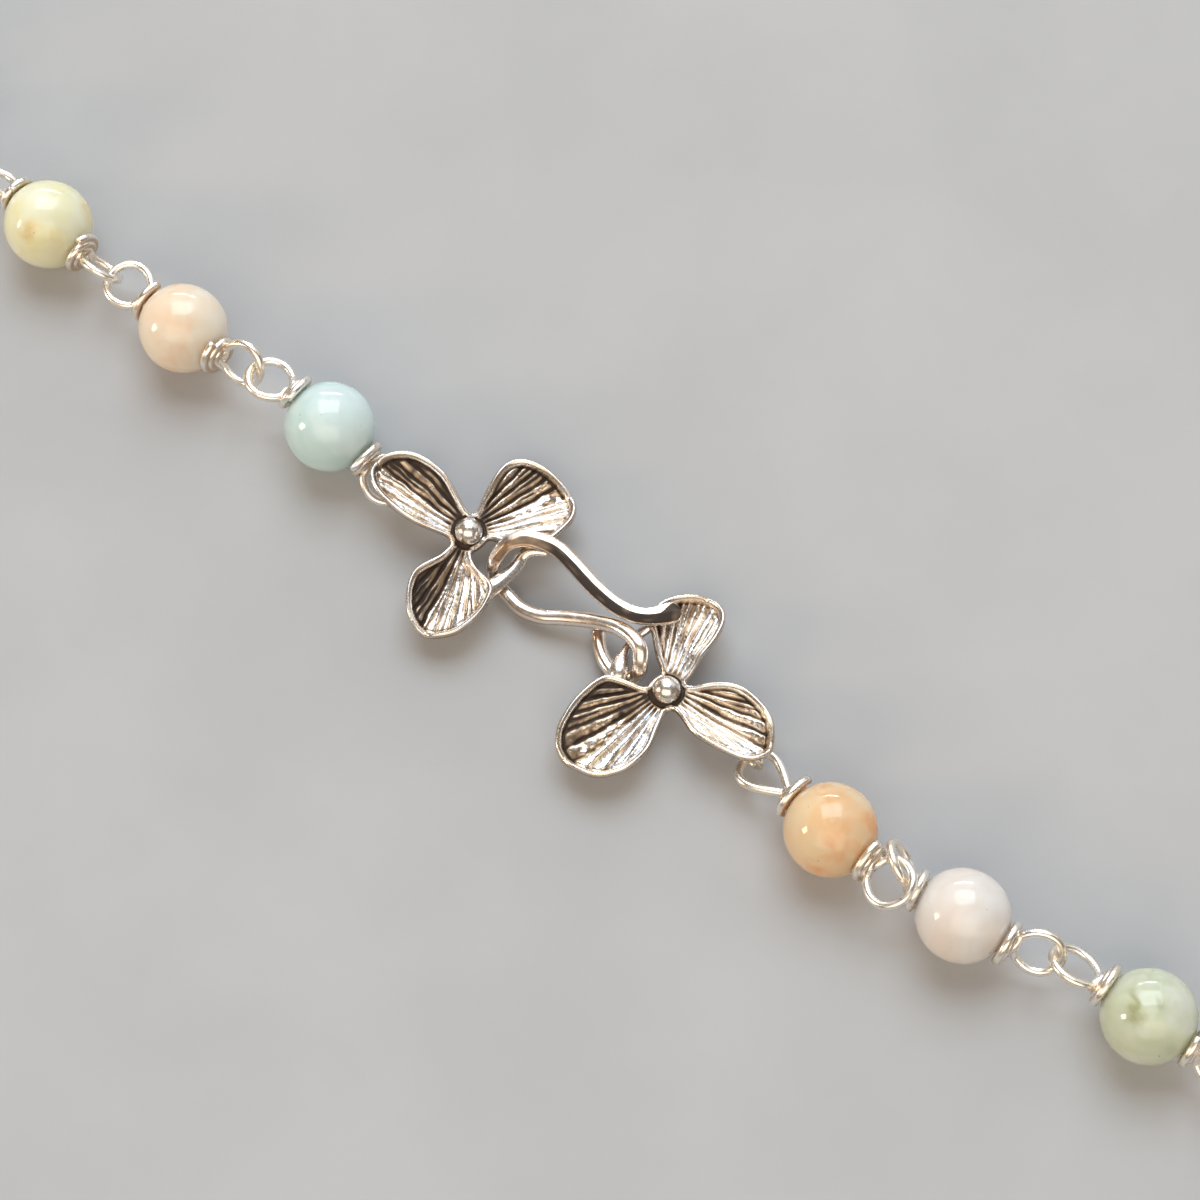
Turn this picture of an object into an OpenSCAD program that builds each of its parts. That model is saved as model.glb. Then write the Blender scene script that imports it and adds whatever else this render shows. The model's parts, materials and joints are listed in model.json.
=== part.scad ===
// A gemstone bead necklace, lying closed on a flat surface with its clasp in front.
// Round beads sit on wire links whose eyes pass through each other. Two cast flowers and
// one bent hook close the loop. Front, with the clasp, is -Y. Everything rests on z = 0.

/* [Beads] */
// Diameter of a round bead
bead_d = 6; // [5.9:0.1:6.1]
// Diameter of the hole drilled through a bead
hole_d = 0.9; // [0.7:0.1:1.1]
// Number of beads in the plain stretch behind the front six
far_beads = 30; // [28:2:32]
// Distance from one bead to the next along that stretch
pitch = 12.15; // [12:0.05:12.2]

/* [Wire links] */
// Diameter of the wire that carries each bead
wire_d = 0.5; // [0.45:0.05:0.5]
// Distance from a bead's middle to the start of its eye
neck = 3.5; // [3.45:0.05:3.55]
// Middle radius of an eye
eye_r = 1.5; // [1.45:0.05:1.55]
// Turns of wire wrapped against each side of a bead
wraps = 3; // [2:1:3]

/* [Loop] */
// Half length of the straight front stretch
straight = 49; // [47:1:52]

/* [Flowers] */
// Thickness of a cast petal
petal_t = 0.7; // [0.6:0.1:0.8]
// How far a petal's edges stand above its midrib
fold = 0.45; // [0.3:0.05:0.6]
// Width of the raised rim round a petal
rim_w = 0.5; // [0.4:0.1:0.6]
// Height of that rim
rim_h = 0.16; // [0.1:0.02:0.2]
// Height of the ribs that fan out over a petal
rib_h = 0.09; // [0:0.01:0.12]
// Angle from one rib to the next, in degrees
rib_step = 7.5; // [6:0.5:10]
// Diameter of the ball in the middle of a flower
ball_d = 1.8; // [1.6:0.1:2]
// Thickness of the bar that frames the eye for the hook
bar_d = 0.8; // [0.7:0.05:0.85]

/* [Hook] */
// Width of the hook's wire
hook_w = 1; // [0.9:0.05:1.05]
// Width of its flatter upper run
run_w = 1.15; // [1:0.05:1.2]
// Width of its flattened tip
tip_w = 1.25; // [1.1:0.05:1.3]

/* [Hidden] */
front_beads = 6;
bead_count = far_beads + front_beads;
function two_digits(i) = str(i < 10 ? "0" : "", i);
bead_names = [for (i = [1:bead_count]) str("bead_", two_digits(i))];
$fn = 48;
bead_r = bead_d / 2;
wire_r = wire_d / 2;
gap = 0.1;
silver = [0.83, 0.78, 0.76];

// The front six beads, from the left flower leftwards and then from the right.
// Columns: x, y, yaw, pitch up of the right side, left eye, right eye.
// An eye: roll about the bead's axis, tilt up, turn, middle radius.
left_front = [
    [-21.3, -1.14, -4, -14, [18, -12, 13, 1.49], [4, -4, 0, 1.5]],
    [-33.48, -1.53, -2, 5, [-6, 5, -5, 1.53], [55.5, 10.5, 13.5, 1.55]],
    [-45.62, -1.15, -6, 0, [45, 0, 9, 1.56], [-61, -4, 7.5, 1.4]],
];
right_front = [
    [42.62, -1.15, 2, 0, [40, -1, -2, 1.65], [45, 0, 0, eye_r]],
    [30.13, -2.86, 6, 0, [-118, 19, -31, 1.48], [50, 1, 14, 1.53]],
    [20.53, -3.36, -6, 8, [4, -10, -5, 1.8], [17, 12, -10, 1.55]],
];

// The plain stretch: on from the third bead, round the left end, back along the far side,
// round the right end and up to the sixth bead.
start_x = left_front[2][0];
stop_x = right_front[0][0];
front_y = left_front[2][1];
run_in = straight + start_x;
run_out = straight - stop_x;
end_r = ((far_beads + 1) * pitch - run_in - run_out - 2 * straight) / (2 * PI);
half_turn = PI * end_r;

function spot(d) =
    let (a = d - run_in, b = a - half_turn, c = b - 2 * straight, e = c - half_turn)
    a < 0 ? [start_x - d, front_y, 0]
    : b < 0 ? let (t = 180 * a / half_turn)
        [-straight - end_r * sin(t), front_y + end_r * (1 - cos(t)), -t]
    : c < 0 ? [b - straight, front_y + 2 * end_r, -180]
    : e < 0 ? let (t = 180 * c / half_turn)
        [straight + end_r * sin(t), front_y + end_r * (1 + cos(t)), -180 - t]
    : [straight - e, front_y, -360];

// Neighbouring eyes stand square to each other, and how far they roll varies along the chain.
// Two links lie rolled a little further.
function roll_right(i) = 45 + 24 * sin(97 * i);
function roll_left(i) = i == far_beads ? 45 : 90 - roll_right(i + 1);
function far_link(i) =
    let (s = spot(i * pitch), more = i == 15 || i == 27 ? 3 : 0)
    [s[0], s[1], s[2], 0, [roll_left(i) + more, 0, 0, eye_r],
     [(i == 1 ? 45 : roll_right(i)) + more, 0, 0, eye_r]];

links = concat(left_front, [for (i = [1:far_beads]) far_link(i)], right_front);
half_count = bead_count / 2;

// The frame's origin is under the middle of the whole necklace's box.
low_y = -9.85;
xs = [for (l = links) l[0]];
ys = [for (l = links) l[1]];
mid_x = (max(xs) + min(xs)) / 2;
mid_y = (max(ys) + bead_r + low_y) / 2;

// Six kinds of stone: pale aqua, peach, yellow, green, milky and orange.
// The front six beads show one of each, and the rest follow in a mixed order.
stone_colours = ["powderblue", "peachpuff", "khaki", "darkseagreen", "mistyrose", "sandybrown"];
function stone(i) =
    i < 3 || i >= bead_count - 3 ? i % 6 : (i * 5 + floor(i / 5) * 2) % 6;

module framed() {
    translate([-mid_x, -mid_y, 0])
        children();
}

module on_link(link) {
    translate([link[0], link[1], bead_r])
        rotate([0, -link[3], link[2]])
            children();
}

module bead(i) {
    color(stone_colours[stone(i)])
        framed()
            on_link(links[i])
                rotate([0, 90, 0])
                    difference() {
                        sphere(r = bead_r);
                        cylinder(h = bead_d + 1, d = hole_d, center = true);
                    }
}

module ring(radius, wire) {
    rotate_extrude()
        translate([radius, 0])
            circle(r = wire);
}

module eye(shape) {
    translate([neck, 0, 0])
        rotate([shape[0], -shape[1], shape[2]])
            translate([shape[3], 0, 0])
                ring(shape[3], wire_r);
}

// The turns hug the bead, a little clear of it, and narrow towards the eye.
module wrap_cap() {
    for (k = [0:wraps - 1]) {
        turn_r = 0.58 + 0.37 * k;
        reach = sqrt(pow(bead_r + gap + wire_r, 2) - turn_r * turn_r);
        translate([reach, 0, 0])
            rotate([0, 90, 0])
                ring(turn_r, wire_r);
    }
}

module wire_link(link) {
    on_link(link) {
        rotate([0, 90, 0])
            cylinder(h = 2 * neck, r = wire_r, center = true);
        for (side = [0, 1])
            rotate([0, 0, side == 0 ? 180 : 0]) {
                wrap_cap();
                eye(link[4 + side]);
            }
    }
}

module wire_half(first) {
    color(silver)
        framed()
            for (i = [first:first + half_count - 1])
                wire_link(links[i]);
}

module wire_left() {
    wire_half(0);
}

module wire_right() {
    wire_half(half_count);
}

// A smooth curve through a list of rows, at place q from 0 to the last row's number.
function smooth(rows, q) =
    let (
        n = len(rows) - 1,
        i = min(floor(q), n - 1),
        t = q - i,
        a = rows[max(i - 1, 0)],
        b = rows[i],
        c = rows[i + 1],
        d = rows[min(i + 2, n)]
    )
    0.5 * (2 * b + (c - a) * t + (2 * a - 5 * b + 4 * c - d) * t * t
        + (3 * b - a - 3 * c + d) * t * t * t);
function ramp(x) = let (t = min(max(x, 0), 1)) t * t * (3 - 2 * t);

// A flower: middle [x, y, z], petals, bar of the eye, ring for the bead link.
// A petal: direction, height at its root and at its tip, sections from root to tip.
// A section: distance out, left edge, right edge, seen looking outwards.
left_flower = [
    [-9.7, -1.25, 2.2],
    [
        [180, 2.3, 3.15, [[0.9, 1.1, -1.1], [2, 1.55, -1.5], [3.4, 1.95, -2.1], [5.1, 1.95, -2.2],
                          [6.2, 1.8, -1.9], [7.1, 1.35, -1.2], [7.7, 0.5, -0.2]]],
        [60, 2.2, 2.2, [[0.9, 1.15, -0.85], [1.6, 1.85, -1.5], [2.5, 2.6, -2.25], [3.7, 3.4, -2.85],
                        [4.8, 3.5, -2.75], [5.8, 2.85, -2.35], [6.6, 1.65, -1.9], [7.2, -0.1, -1]]],
        [-78, 2.2, 1.9, [[1.1, 0.75, -0.8], [1.9, 1.5, -0.87], [2.6, 3.1, -1.25], [3.8, 3.35, -2.03],
                         [4.8, 3.25, -2.03], [5.9, 2.8, -1.65], [6.8, 2.2, -1.1], [7.6, 0.9, 0]]],
    ],
    [[-5.9, -3.3, 1.95], [-6.05, -2.1, 1.9], [-5.95, -1.1, 1.95], [-6.3, -0.3, 2], [-5.8, 0.6, 2.1]],
    [-15.1, -1.3, 1.35, 0.9],
];
right_flower = [
    [6.9, -2.1, 2.2],
    [
        [103, 2.2, 2.1, [[0.9, 0.7, -0.9], [1.8, 1.6, -1.15], [3, 2.4, -1.25], [3.8, 3, -1.5],
                         [4.8, 3, -1.65], [5.8, 2.35, -1.6], [6.5, 1.4, -1.2], [6.95, 0.3, -0.3]]],
        [5, 2.3, 2.9, [[1.2, 1.1, -0.9], [2.1, 1.9, -1.35], [2.95, 2.35, -1.8], [3.95, 2.65, -1.85],
                       [5.1, 2.5, -1.8], [6.1, 2.15, -1.7], [7.05, 1.5, -1.4], [7.9, 0.05, -0.4]]],
        [-105, 2.2, 1.9, [[0.8, 1, -1], [1.5, 1.45, -2.1], [2.2, 1.85, -3.15], [3.2, 2.5, -3.35],
                          [4.3, 2.7, -3.28], [5.3, 2.66, -3.1], [6.3, 2.3, -2.7], [7.2, 1.7, -2.2],
                          [8.05, 0, -1.1]]],
    ],
    [[3.6, -3, 1.95], [3.35, -2, 1.9], [3.2, -1, 1.9], [3.3, 0.4, 2]],
    [13.62, -2.2, 1.4, 0.8],
];

// Height of a petal's upper face: its midrib, the fold on both sides of it, and with fine = 1
// the rim and the ribs too. Places: out, across, and from -1 at the right edge to 1 at the left.
function petal_z(petal, out, across, t, half, length, fine) =
    let (
        far = out / length,
        edge = min((1 - abs(t)) * half, (length - out) * 1.2),
        inside = ramp(edge / rim_w - 0.6) * ramp((out - 1) / 1.2),
        spine = petal[1] + (petal[2] - petal[1]) * far + 0.12 * sin(180 * far),
        lift = fold * abs(t) * ramp((far - 0.12) / 0.35)
    )
    spine + lift + fine * (
        rim_h * sin(180 * min(edge / rim_w, 1))
        + rib_h * inside * cos(360 * atan2(across, out + 0.6) / rib_step));

module petal(petal) {
    rows = petal[3];
    last = len(rows) - 1;
    length = rows[last][0];
    along = 18;
    over = 24;
    spread = [for (j = [0:over]) let (t = 2 * j / over - 1) 0.55 * t + 0.45 * sin(90 * t)];
    sections = [for (i = [0:along]) smooth(rows, last * i / along)];
    function point(i, j, top) =
        let (
            s = sections[i],
            half = (s[1] - s[2]) / 2,
            across = (s[1] + s[2]) / 2 + spread[j] * half,
            z = petal_z(petal, s[0], across, spread[j], half, length, top)
        )
        [s[0], across, z - (1 - top) * petal_t];
    points = [for (top = [1, 0], i = [0:along], j = [0:over]) point(i, j, top)];
    size = (along + 1) * (over + 1);
    function at(i, j) = i * (over + 1) + j;
    edge = concat(
        [for (j = [0:over - 1]) at(0, j)], [for (i = [0:along - 1]) at(i, over)],
        [for (j = [over:-1:1]) at(along, j)], [for (i = [along:-1:1]) at(i, 0)]);
    cells = [for (i = [0:along - 1], j = [0:over - 1]) [at(i, j), at(i, j + 1), at(i + 1, j + 1), at(i + 1, j)]];
    upper = [for (c = cells, k = [1, 2]) [c[0], c[k], c[k + 1]]];
    lower = [for (f = upper) [f[2] + size, f[1] + size, f[0] + size]];
    walls = [for (k = [0:len(edge) - 1], half = [0, 1])
        let (a = edge[k], b = edge[(k + 1) % len(edge)])
        half == 0 ? [a, a + size, b + size] : [a, b + size, b]];
    rotate([0, 0, petal[0]])
        polyhedron(points, concat(upper, lower, walls));
}

// A round bar along a curve through a list of points.
module bar(points, d) {
    last = len(points) - 1;
    steps = last * 3;
    for (k = [0:steps - 1])
        hull()
            for (q = [k, k + 1])
                translate(smooth(points, last * q / steps))
                    sphere(d = d, $fn = 8);
}

module flower(flower) {
    middle = flower[0];
    link_ring = flower[3];
    color(silver)
        framed()
            union() {
                translate([middle[0], middle[1], 0])
                    for (p = flower[1])
                        petal(p);
                translate(middle - [0, 0, 0.25])
                    scale([1, 1, 0.24])
                        sphere(r = 1.62, $fn = 20);
                translate(middle + [0, 0, 0.3])
                    sphere(d = ball_d, $fn = 20);
                bar(flower[2], bar_d);
                translate([link_ring[0], link_ring[1], link_ring[2]])
                    rotate([90, 0, 0])
                        rotate_extrude($fn = 16)
                            translate([link_ring[3], 0])
                                circle(r = 0.27, $fn = 6);
            }
}

module flower_left() {
    flower(left_flower);
}

module flower_right() {
    flower(right_flower);
}

// The hook's middle line, from its short end by the right flower to its flattened tip.
// Columns: x, y, z, width, thickness.
hook_rows = [
    [0.86, -1.23, 0.75, 0.85, 0.8],
    [1.48, -1.94, 0.8, 0.9, 0.85],
    [2.29, -2.5, 0.85, 0.95, 0.95],
    [3.18, -2.79, 0.88, hook_w, hook_w],
    [4.0, -2.77, 0.9, hook_w, hook_w],
    [4.5, -2.41, 1.25, hook_w, hook_w],
    [4.63, -1.96, 2.1, hook_w, hook_w],
    [4.4, -1.52, 2.75, hook_w, hook_w],
    [3.96, -1.05, 3.1, hook_w, hook_w],
    [3.0, -0.74, 3.0, hook_w, hook_w],
    [1.73, -0.73, 2.6, hook_w, hook_w],
    [0.23, -1.17, 2.1, hook_w, hook_w],
    [-1.39, -1.94, 1.6, hook_w, hook_w],
    [-2.75, -2.66, 1.2, hook_w, hook_w],
    [-4.14, -2.94, 0.95, hook_w, hook_w],
    [-5.43, -2.74, 0.85, hook_w, hook_w],
    [-6.38, -2.55, 0.95, hook_w, hook_w],
    [-6.97, -2.29, 1.35, hook_w, hook_w],
    [-7.15, -1.87, 2.1, hook_w, hook_w],
    [-7.12, -1.28, 2.85, hook_w, hook_w],
    [-6.91, -0.55, 3.4, hook_w, hook_w],
    [-6.32, 0.21, 3.55, run_w, 0.95],
    [-5.29, 0.69, 3.58, run_w, 0.95],
    [-4.1, 0.93, 3.55, run_w, 0.95],
    [-2.68, 0.75, 3.5, run_w, 0.95],
    [-0.83, 0.37, 3.45, run_w, 0.95],
    [0.56, 0.22, 3.4, run_w, 0.95],
    [1.62, 0.25, 3.4, run_w, 0.9],
    [2.47, 0.45, 3.4, run_w, 0.85],
    [3.15, 0.84, 3.37, run_w, 0.8],
    [3.71, 1.36, 3.37, tip_w, 0.75],
    [4.18, 1.91, 3.37, tip_w, 0.7],
    [4.54, 2.35, 3.37, 0.7, 0.5],
];

module hook() {
    last = len(hook_rows) - 1;
    steps = last * 3;
    sides = 8;
    function row(k) = smooth(hook_rows, last * min(max(k, 0), steps) / steps);
    function place(k) = let (r = row(k)) [r[0], r[1], r[2]];
    function section(k) =
        let (
            along = place(k + 0.5) - place(k - 0.5),
            aside = [along[1], -along[0], 0] / norm([along[0], along[1]]),
            up = cross(aside, along) / norm(along),
            r = row(k) / cos(180 / sides)
        )
        [for (j = [0:sides - 1])
            let (a = 360 * (j + 0.5) / sides)
            place(k) + aside * cos(a) * r[3] / 2 + up * sin(a) * r[4] / 2];
    points = [for (k = [0:steps]) each section(k)];
    skin = [for (k = [0:steps - 1], j = [0:sides - 1], half = [0, 1])
        let (
            a = k * sides + j,
            b = k * sides + (j + 1) % sides
        )
        half == 0 ? [a, b, b + sides] : [a, b + sides, a + sides]];
    first_end = [for (j = [sides - 1:-1:0]) j];
    last_end = [for (j = [0:sides - 1]) steps * sides + j];
    color(silver)
        framed()
            polyhedron(points, concat(skin, [first_end, last_end]));
}

for (i = [0:bead_count - 1])
    bead(i);
wire_left();
wire_right();
flower_left();
flower_right();
hook();
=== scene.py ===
import json
import math

import bpy
import numpy as np
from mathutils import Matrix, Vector
from mathutils.geometry import delaunay_2d_cdt


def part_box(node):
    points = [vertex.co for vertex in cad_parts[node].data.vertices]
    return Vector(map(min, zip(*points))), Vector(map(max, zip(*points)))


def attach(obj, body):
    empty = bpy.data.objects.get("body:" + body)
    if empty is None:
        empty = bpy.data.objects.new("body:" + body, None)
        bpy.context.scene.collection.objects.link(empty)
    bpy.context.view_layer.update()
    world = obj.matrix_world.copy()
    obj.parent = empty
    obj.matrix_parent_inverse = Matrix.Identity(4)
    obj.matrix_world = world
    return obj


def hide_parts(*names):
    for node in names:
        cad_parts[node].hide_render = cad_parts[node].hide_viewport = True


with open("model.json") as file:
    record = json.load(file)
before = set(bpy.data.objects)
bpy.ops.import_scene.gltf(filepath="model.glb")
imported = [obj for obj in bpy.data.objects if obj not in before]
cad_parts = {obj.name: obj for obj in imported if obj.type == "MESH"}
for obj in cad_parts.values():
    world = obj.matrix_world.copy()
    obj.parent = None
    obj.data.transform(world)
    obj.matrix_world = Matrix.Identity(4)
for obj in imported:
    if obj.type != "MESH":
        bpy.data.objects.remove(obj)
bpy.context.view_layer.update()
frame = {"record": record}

# Sizes in millimetres, in the clasp's own coordinates, as in the part's source. Each mesh is moved
# to the frame and scaled to metres when it is made.
MM = 0.001
BEAD_R = 3.0
HOLE_R = 0.45
WIRE_R = 0.285
# From a bead's middle to the roots of its eyes, and the middle radius of an eye.
NECK = 3.5
EYE_R = 1.5
# Guessed part of the loop: its beads, their spacing and half the length of a straight side.
FAR_BEADS = 30
PITCH = 12.15
STRAIGHT = 49.0

# Front links: x, y, yaw, pitch up of the right side, left eye, right eye.
# An eye: roll, tilt up, turn, middle radius.
LEFT_FRONT = [
    (-21.3, -1.14, -4, -14, (18, -12, 13, 1.49), (4, -4, 0, 1.5)),
    (-33.48, -1.53, -2, 5, (-6, 5, -5, 1.53), (55.5, 10.5, 13.5, 1.55)),
    (-45.62, -1.15, -6, 0, (45, 0, 9, 1.56), (-61, -4, 7.5, 1.4)),
]
RIGHT_FRONT = [
    (42.62, -1.15, 2, 0, (40, -1, -2, 1.65), (45, 0, 0, EYE_R)),
    (30.13, -2.86, 6, 0, (-118, 19, -31, 1.48), (50, 1, 14, 1.53)),
    (20.53, -3.36, -6, 8, (8, -7, -2, 1.88), (17, 12, -10, 1.55)),
]

# Flowers: middle, petals, eye bar with its radius, and the hidden ring's middle and radius.
# A petal: direction, root height, tip height, sections of distance out, left and right edge.
LEFT_FLOWER = (
    (-9.7, -1.25, 2.2),
    [
        (180, 2.3, 3.15, [(0.9, 1.1, -1.1), (2, 1.55, -1.5), (3.4, 1.95, -2.1), (5.1, 1.95, -2.2),
                          (6.2, 1.8, -1.9), (7.1, 1.35, -1.2), (7.7, 0.5, -0.2)]),
        (60, 2.2, 2.2, [(0.9, 1.15, -0.85), (1.6, 1.85, -1.5), (2.5, 2.6, -2.25), (3.7, 3.4, -2.85),
                        (4.8, 3.5, -2.75), (5.8, 2.85, -2.35), (6.6, 1.65, -1.9), (7.2, -0.1, -1)]),
        (-78, 2.2, 1.9, [(1.1, 0.75, -0.8), (1.9, 1.5, -0.87), (2.6, 3.1, -1.25), (3.8, 3.35, -2.03),
                         (4.8, 3.25, -2.03), (5.9, 2.8, -1.65), (6.8, 2.2, -1.1), (7.6, 0.9, 0)]),
    ],
    [(-6.42, -3.6, 2.0, 0.72), (-6.2, -2.95, 1.98, 0.54), (-6.05, -2.25, 1.95, 0.48),
     (-5.95, -1.65, 1.95, 0.48), (-5.93, -1.05, 1.98, 0.47), (-6.0, -0.5, 2.05, 0.44),
     (-5.86, 0.02, 2.2, 0.43), (-5.42, 0.4, 2.32, 0.38), (-4.85, 0.68, 2.36, 0.3)],
    (-15.1, -1.3, 1.35, 0.9),
)
RIGHT_FLOWER = (
    (6.9, -2.1, 2.2),
    [
        (103, 2.2, 2.1, [(0.9, 0.7, -0.9), (1.8, 1.6, -1.15), (3, 2.4, -1.25), (3.8, 3, -1.5),
                         (4.8, 3, -1.65), (5.8, 2.35, -1.6), (6.5, 1.4, -1.2), (6.95, 0.3, -0.3)]),
        (5, 2.3, 2.9, [(1.2, 1.1, -0.9), (2.1, 1.9, -1.35), (2.95, 2.35, -1.8), (3.95, 2.65, -1.85),
                       (5.1, 2.5, -1.8), (6.1, 2.15, -1.7), (7.05, 1.5, -1.4), (7.9, 0.05, -0.4)]),
        (-105, 2.2, 1.9, [(0.8, 1, -1), (1.5, 1.45, -2.1), (2.2, 1.85, -3.15), (3.2, 2.5, -3.35),
                          (4.3, 2.7, -3.28), (5.3, 2.66, -3.1), (6.3, 2.3, -2.7), (7.2, 1.7, -2.2),
                          (8.05, 0, -1.1)]),
    ],
    [(4.1, -3.6, 1.74, 0.48), (3.72, -2.96, 2.04, 0.6), (3.43, -2.35, 2.0, 0.55),
     (3.28, -1.75, 1.95, 0.43), (3.13, -1.2, 1.93, 0.33), (3.1, -0.55, 1.93, 0.33),
     (3.2, 0.1, 1.97, 0.36), (3.4, 0.7, 2.1, 0.36)],
    (13.62, -2.2, 1.4, 0.8),
)

# The hook's middle line from its short end to its flattened tip: x, y, z, width, thickness.
HOOK_ROWS = [
    (0.86, -1.23, 0.75, 1.0, 0.88), (1.48, -1.94, 0.8, 0.94, 0.88), (2.29, -2.5, 0.85, 0.95, 0.95),
    (3.18, -2.79, 0.88, 1, 1), (4.0, -2.77, 0.9, 1, 1), (4.5, -2.41, 1.25, 1, 1),
    (4.63, -1.96, 2.1, 1, 1), (4.4, -1.52, 2.75, 1, 1), (3.96, -1.05, 3.1, 1, 1),
    (3.0, -0.74, 3.0, 1, 1), (1.73, -0.73, 2.6, 1, 1), (0.23, -1.17, 2.1, 1, 1),
    (-1.39, -1.94, 1.6, 1, 1), (-2.75, -2.66, 1.2, 1, 1), (-4.14, -2.94, 0.95, 1, 1),
    (-5.43, -2.74, 0.85, 1, 1), (-6.38, -2.55, 0.95, 1, 1), (-6.97, -2.29, 1.35, 1, 1),
    (-7.15, -1.87, 2.1, 1, 1), (-7.12, -1.28, 2.85, 1, 1), (-6.91, -0.55, 3.4, 1, 1),
    (-6.32, 0.21, 3.55, 1.15, 0.95), (-5.29, 0.69, 3.58, 1.15, 0.95), (-4.1, 0.93, 3.55, 1.15, 0.95),
    (-2.68, 0.75, 3.5, 1.15, 0.95), (-0.83, 0.37, 3.45, 1.15, 0.95), (0.56, 0.22, 3.4, 1.15, 0.95),
    (1.62, 0.25, 3.4, 1.15, 0.9), (2.47, 0.45, 3.4, 1.15, 0.85), (3.15, 0.84, 3.37, 1.15, 0.8),
    (3.71, 1.36, 3.37, 1.32, 0.75), (4.18, 1.91, 3.37, 1.4, 0.7), (4.54, 2.35, 3.37, 0.8, 0.5),
]

# Where the clasp's coordinates lie in the frame, read from the first bead's place.
low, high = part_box("bead_01")
OFFSET = np.array([*LEFT_FRONT[0][:2], 0]) - np.array([low.x + high.x, low.y + high.y, 0]) / 2 / MM


# Numbers and curves

def ramp(x):
    """A smooth step from 0 to 1."""
    t = np.clip(x, 0, 1)
    return t * t * (3 - 2 * t)


def smooth(rows, count):
    """Points on a smooth curve through the rows, evenly spaced in the rows' own numbering."""
    rows = np.array(rows, float)
    last = len(rows) - 1
    q = np.linspace(0, last, count)
    i = np.minimum(q.astype(int), last - 1)
    t = (q - i)[:, None]
    a, b = rows[np.maximum(i - 1, 0)], rows[i]
    c, d = rows[i + 1], rows[np.minimum(i + 2, last)]
    return 0.5 * (2 * b + (c - a) * t + (2 * a - 5 * b + 4 * c - d) * t ** 2
                  + (3 * b - a - 3 * c + d) * t ** 3)


def lattice(ix, iy, iz, seed):
    """One repeatable number from 0 to 1 for each whole-number place."""
    n = (ix * 374761393 + iy * 668265263 + iz * 1274126177 + seed * 974634777) & 0xFFFFFFFF
    n = ((n ^ (n >> 13)) * 1103515245) & 0xFFFFFFFF
    n = ((n ^ (n >> 16)) * 2246822519) & 0xFFFFFFFF
    return ((n ^ (n >> 15)) & 0xFFFFFF) / 0xFFFFFF


def noise(x, y, z, seed):
    """Smooth noise from -1 to 1 with features about one unit wide."""
    places = np.broadcast_arrays(x, y, z)
    whole = [np.floor(v).astype(np.int64) for v in places]
    part = [ramp(v - w) for v, w in zip(places, whole)]
    total = 0
    for corner in np.ndindex(2, 2, 2):
        weight = np.prod([p if d else 1 - p for p, d in zip(part, corner)], axis=0)
        total = total + weight * lattice(*(w + d for w, d in zip(whole, corner)), seed)
    return total * 2 - 1


def turned(axis, degrees):
    """The matrix of a turn round one axis."""
    a = math.radians(degrees)
    i, j = {"x": (1, 2), "y": (2, 0), "z": (0, 1)}[axis]
    turn = np.eye(3)
    turn[i, i] = turn[j, j] = math.cos(a)
    turn[j, i] = math.sin(a)
    turn[i, j] = -turn[j, i]
    return turn


def circle(count):
    """Angles once round a circle."""
    return 2 * np.pi * np.arange(count) / count


def lengths(rows):
    return np.linalg.norm(rows, axis=1)


def unit(rows):
    """Rows of vectors, each scaled to a length of one."""
    return rows / lengths(rows)[:, None]


# Meshes

def new_object(name, data):
    thing = bpy.data.objects.new(name, data)
    bpy.context.scene.collection.objects.link(thing)
    return thing


def store(mesh, name, values):
    """Keep one number a vertex on a mesh, for its material."""
    number = mesh.attributes.new(name, "FLOAT", "POINT")
    number.data.foreach_set("value", values.astype(np.float32))


class Shape:
    """Vertices in millimetres, their tarnish with painted shade and their frost, and faces, gathered
    from parts.
    """

    def __init__(self):
        self.points, self.faces, self.numbers = [], [], []

    def add(self, points, faces, tarnish_and_shade=0.0, frost=0.0):
        corners = np.array([(f[0], f[k], f[k + 1]) for f in faces for k in range(1, len(f) - 1)])
        a, b, c = (points[corners[:, k]] for k in range(3))
        if np.sum(np.cross(a, b) * c) < 0:
            faces = [face[::-1] for face in faces]
        first = sum(map(len, self.points))
        self.points.append(points)
        self.faces += [tuple(i + first for i in face) for face in faces]
        self.numbers.append(np.broadcast_arrays(points[:, 0], tarnish_and_shade, frost)[1:])

    def make(self, name, node, material):
        mesh = bpy.data.meshes.new(name)
        points = (np.vstack(self.points) - OFFSET) * MM
        mesh.from_pydata(points.tolist(), [], self.faces)
        mesh.update()
        for number, values in zip(("tarnish_and_shade", "frost"), np.hstack(self.numbers)):
            store(mesh, number, values)
        mesh.shade_smooth()
        mesh.materials.append(material)
        piece = new_object(name, mesh)
        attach(piece, "root")
        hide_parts(node)
        return mesh


def grid_points(x, y, z):
    """Points from grids of their coordinates."""
    return np.stack(np.broadcast_arrays(x, y, z), axis=2).reshape(-1, 3)


def grid_faces(rows, columns, close_rows=False):
    """Faces between closed rows of points, and from the last row to the first if asked."""
    faces = []
    for i in range(rows if close_rows else rows - 1):
        for j in range(columns):
            k, c = (j + 1) % columns, (i + 1) % rows
            faces.append((i * columns + j, i * columns + k, c * columns + k, c * columns + j))
    return faces


def swept(path, sides, ups, across, upward):
    """A closed skin along a path, with each row's points placed sideways and upwards of it."""
    points = path[:, None] + sides[:, None] * across[..., None] + ups[:, None] * upward[..., None]
    rows, around = across.shape
    ends = [tuple(range(around))[::-1], tuple((rows - 1) * around + j for j in range(around))]
    return points.reshape(-1, 3), grid_faces(rows, around) + ends


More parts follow.
